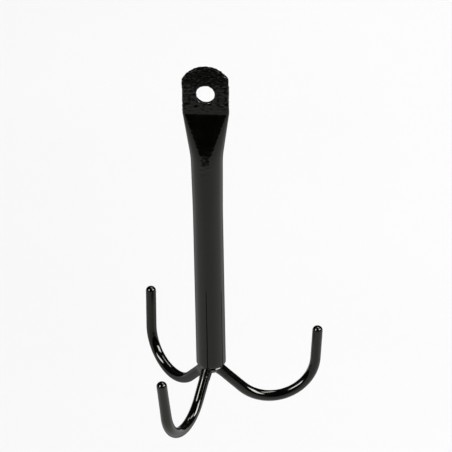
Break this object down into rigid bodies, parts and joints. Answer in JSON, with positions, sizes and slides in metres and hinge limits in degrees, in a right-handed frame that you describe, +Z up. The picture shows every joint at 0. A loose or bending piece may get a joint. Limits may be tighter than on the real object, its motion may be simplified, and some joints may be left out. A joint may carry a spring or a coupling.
{
  "type": "hanging tack hook",
  "caption": "Hanging tack hook: an upright tube pressed flat into a tab with a round hanging hole, and bent bars welded into its lower end as open hooks, all under glossy black plastic.",
  "frame": {"origin": "centre of the hanging hole, halfway through the tab's thickness", "axes": "+Z up along the tube, +X along the tab's width, +Y through the hanging hole, away from the side that one hook points to"},
  "size_m": [0.1256, 0.1263, 0.2542],
  "materials": {
    "tube_steel": "drawn mild steel tube, grey, under the plastic",
    "bar_steel": "drawn round bar, grey, under the plastic",
    "weld_metal": "rippled weld under a thin gloss black film",
    "black_coating": "dipped plastic, gloss black, slightly uneven"
  },
  "bodies": {
    "root": {"shaft_tube": "tube_steel", "left_hook_bar": "bar_steel", "right_hook_bar": "bar_steel", "front_hook_bar": "bar_steel", "mouth_weld": "weld_metal", "left_weld_bead": "weld_metal", "right_weld_bead": "weld_metal", "front_weld_bead": "weld_metal", "shaft_coating": "black_coating", "left_hook_coating": "black_coating", "right_hook_coating": "black_coating", "front_hook_coating": "black_coating"}
  },
  "joints": []
}
